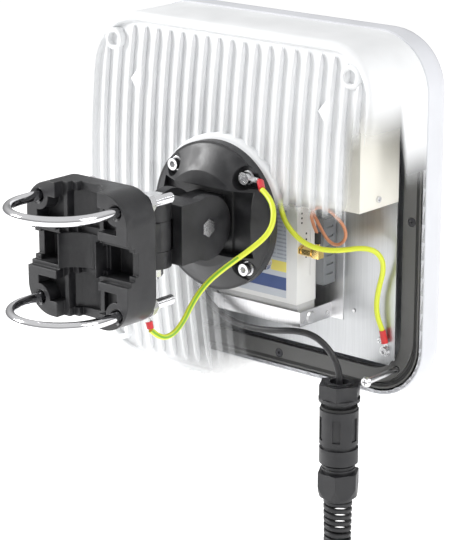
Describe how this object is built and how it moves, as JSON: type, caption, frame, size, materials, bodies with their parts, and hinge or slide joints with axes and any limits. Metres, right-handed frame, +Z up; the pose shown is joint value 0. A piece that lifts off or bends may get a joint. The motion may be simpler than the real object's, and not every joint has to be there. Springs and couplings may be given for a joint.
{
  "type": "outdoor wireless bridge",
  "caption": "Panel antenna and radio in a ribbed back cover and radome, on a tilting and turning mast clamp, with a cable gland below.",
  "frame": {"origin": "on the mast's axis, at the middle of the clamp's height", "axes": "+Z up along the mast, +Y from the mast to the radome, +X towards the side of the tilt bolt's head"},
  "size_m": [0.302, 0.3408, 0.43],
  "materials": {
    "white_plastic": "semi-gloss moulded white",
    "radome_white": "semi-gloss moulded pale grey-white",
    "black_plastic": "fine-textured black polyamide",
    "grey_frame": "dark grey moulded frame",
    "black_rubber": "matt rubber",
    "cast_black": "die casting with a black powder coat",
    "sheet_aluminium": "brushed sheet",
    "zinc": "bright zinc-plated steel",
    "chrome": "polished stainless rod",
    "cream_paint": "cream-white coated sheet",
    "router_white": "white moulded case",
    "label_blue": "plain printed label",
    "module_grey": "grey coated case",
    "gold": "gold-plated brass",
    "brass": "turned brass",
    "board_green": "solder-masked board",
    "earth_green": "green and yellow insulation",
    "copper_jacket": "copper-brown coaxial jacket",
    "red_sleeve": "red insulating sleeve",
    "lamp": "clear lamp pipes"
  },
  "bodies": {
    "clamp": {"clamp_body": "cast_black", "u_bolt_nuts": "zinc", "outer_earth_lug_clamp": "zinc"},
    "arm": {"tilt_arm": "cast_black", "tilt_bolt": "zinc", "tilt_nut": "zinc", "swivel_bolt": "zinc", "swivel_nut": "zinc", "outer_earth_wire_clamp": "earth_green"},
    "panel": {"back_cover": "white_plastic", "cover_screws": "zinc", "radome": "radome_white", "radome_inserts": "brass", "seal_frame": "grey_frame", "seal_ring": "black_rubber", "frame_screws": "zinc", "reflector_plate": "sheet_aluminium", "plate_screws": "zinc", "antenna_board": "board_green", "board_standoffs": "zinc", "patch_elements": "sheet_aluminium", "radio_housing": "cream_paint", "radio_board": "board_green", "shelf_plate": "cream_paint", "shelf_screws": "zinc", "router_bracket": "sheet_aluminium", "bracket_rivets": "zinc", "router_foot_pad": "black_rubber", "router_case": "router_white", "router_front": "router_white", "router_lamps": "lamp", "router_board": "board_green", "router_label": "label_blue", "poe_splitter": "module_grey", "sma_jack": "gold", "sma_plug": "gold", "coax_sleeve": "black_rubber", "coax_cable": "copper_jacket", "shelf_grommet": "black_rubber", "lan_plug": "black_plastic", "lan_cable": "black_plastic", "gland_lock_nut": "black_plastic", "gland_o_ring": "black_rubber", "gland_body": "black_plastic", "cable_coupler": "black_plastic", "gland_seal": "black_rubber", "inner_earth_lugs": "zinc", "inner_earth_sleeves": "red_sleeve", "inner_earth_wire": "earth_green", "inner_earth_screw": "zinc", "mount_flange": "cast_black", "flange_screws": "zinc", "flange_nuts": "zinc", "flange_washers": "zinc", "outer_earth_lug_panel": "zinc", "outer_earth_wire_panel": "earth_green"},
    "upper_u_bolt": {"u_bolt_upper": "chrome"},
    "lower_u_bolt": {"u_bolt_lower": "chrome"},
    "gland_cap": {"gland_nut": "black_plastic", "strain_relief": "black_plastic"}
  },
  "joints": [
    {"name": "azimuth_swivel", "type": "hinge", "parent": "clamp", "child": "arm", "pos_m": [0, 0.09, 0], "axis": [0, 0, 1], "range_deg": [-30, 30], "deforming": ["outer_earth_wire_clamp"]},
    {"name": "tilt_hinge", "type": "hinge", "parent": "arm", "child": "panel", "pos_m": [0, 0.131, 0], "axis": [1, 0, 0], "range_deg": [-30, 30], "deforming": ["outer_earth_wire_panel"]},
    {"name": "upper_u_bolt_slide", "type": "slide", "parent": "clamp", "child": "upper_u_bolt", "axis": [0, -1, 0], "range_m": [-0.028, 0]},
    {"name": "lower_u_bolt_slide", "type": "slide", "parent": "clamp", "child": "lower_u_bolt", "axis": [0, -1, 0], "range_m": [-0.028, 0]},
    {"name": "gland_cap_turn", "type": "hinge", "parent": "panel", "child": "gland_cap", "pos_m": [0.097, 0.2105, -0.22], "axis": [0, 0, 1], "continuous": true}
  ]
}
